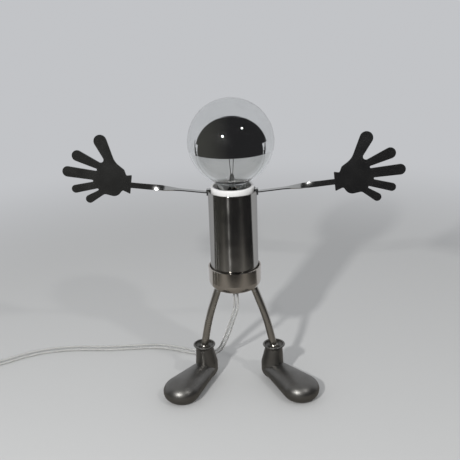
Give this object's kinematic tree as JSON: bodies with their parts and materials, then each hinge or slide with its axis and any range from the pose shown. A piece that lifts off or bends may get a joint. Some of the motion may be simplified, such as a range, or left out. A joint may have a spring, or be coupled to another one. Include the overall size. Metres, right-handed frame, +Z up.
{
  "type": "robot shaped desk lamp",
  "caption": "Table lamp shaped like a standing figure: half-silvered globe bulb head, chromed tube body, flat arms with cut-out hands, bent rod legs and cast boots, on a clear flat cord.",
  "frame": {"origin": "on the surface the boots stand on, under the centre of the lamp's box measured without its cord", "axes": "+Z up, the figure faces -Y with its toes, +X runs towards the arm on the right seen from the front"},
  "size_m": [0.6798, 0.1816, 0.3402],
  "materials": {
    "tube_chrome": "bright chrome plate",
    "cup_nickel": "polished nickel plate",
    "leg_nickel": "satin nickel",
    "arm_black_nickel": "dark bright plate",
    "boot_pewter": "satin dark pewter",
    "porcelain": "glazed white porcelain",
    "fixings_steel": "zinc-plated steel",
    "contact_brass": "plain brass",
    "bulb_clear": "clear glass",
    "bulb_silver": "silvered on the inside",
    "cap_metal": "plain brass",
    "cap_insulator": "black glass",
    "solder": "dull solder",
    "wire_metal": "drawn wire",
    "cord_clear": "clear vinyl over tinned conductors",
    "bush_plastic": "black moulded plastic",
    "switch_white": "white moulded plastic",
    "tie_black": "black strap"
  },
  "bodies": {
    "stand": {"base_cup": "cup_nickel", "body_tube": "tube_chrome", "lampholder_body": "porcelain", "lampholder_sleeve": "contact_brass", "lampholder_contact": "contact_brass", "terminal_blocks": "contact_brass", "terminal_screws": "fixings_steel", "holder_bridge": "fixings_steel", "bridge_screws": "fixings_steel", "tie_rod": "fixings_steel", "rod_washer": "fixings_steel", "rod_nut_lower": "fixings_steel", "rod_nut_upper": "fixings_steel", "cord_bush": "bush_plastic", "lead_in_rod": "cord_clear", "lead_wires": "wire_metal", "left_leg": "leg_nickel", "right_leg": "leg_nickel", "hip_screws": "fixings_steel", "leg_grub_screws": "fixings_steel", "ankle_balls": "leg_nickel", "sole_screws": "fixings_steel", "sole_washers": "fixings_steel", "cord_lead": "cord_clear", "cord_middle": "cord_clear", "cord_coil": "cord_clear", "cord_tail": "cord_clear", "coil_tie": "tie_black", "switch_lower": "switch_white", "switch_upper": "switch_white", "switch_screws": "fixings_steel", "switch_pin": "fixings_steel", "switch_contacts": "contact_brass", "plug_body": "switch_white", "plug_pins": "contact_brass"},
    "left_arm": {"left_arm": "arm_black_nickel"},
    "right_arm": {"right_arm": "arm_black_nickel"},
    "left_boot": {"left_boot": "boot_pewter"},
    "right_boot": {"right_boot": "boot_pewter"},
    "bulb": {"bulb_glass": "bulb_clear", "bulb_mirror": "bulb_silver", "bulb_cap": "cap_metal", "bulb_insulator": "cap_insulator", "bulb_tip_contact": "solder", "bulb_stem": "bulb_clear", "bulb_lead_wires": "wire_metal", "bulb_filament": "wire_metal"},
    "rocker": {"switch_rocker": "switch_white"}
  },
  "joints": [
    {"name": "left_arm_swing", "type": "hinge", "parent": "stand", "child": "left_arm", "pos_m": [-0.00044, 0.00971, 0.2387], "axis": [0, 0, 1], "range_deg": [-75, 75]},
    {"name": "right_arm_swing", "type": "hinge", "parent": "stand", "child": "right_arm", "pos_m": [-0.00044, 0.00971, 0.2387], "axis": [0, 0, 1], "range_deg": [-75, 75]},
    {"name": "left_boot_swivel", "type": "hinge", "parent": "stand", "child": "left_boot", "pos_m": [-0.03984, 0.00971, 0.039], "axis": [0, 0, 1], "range_deg": [-40, 40]},
    {"name": "right_boot_swivel", "type": "hinge", "parent": "stand", "child": "right_boot", "pos_m": [0.04326, 0.00971, 0.039], "axis": [0, 0, 1], "range_deg": [-40, 40]},
    {"name": "bulb_turn", "type": "hinge", "parent": "stand", "child": "bulb", "pos_m": [-0.00044, 0.00971, 0.218], "axis": [0, 0, 1], "range_deg": [0, 900]},
    {"name": "rocker_tilt", "type": "hinge", "parent": "stand", "child": "rocker", "pos_m": [-0.37644, 0.02971, 0.013], "axis": [0, 1, 0], "range_deg": [-16, 0]}
  ]
}
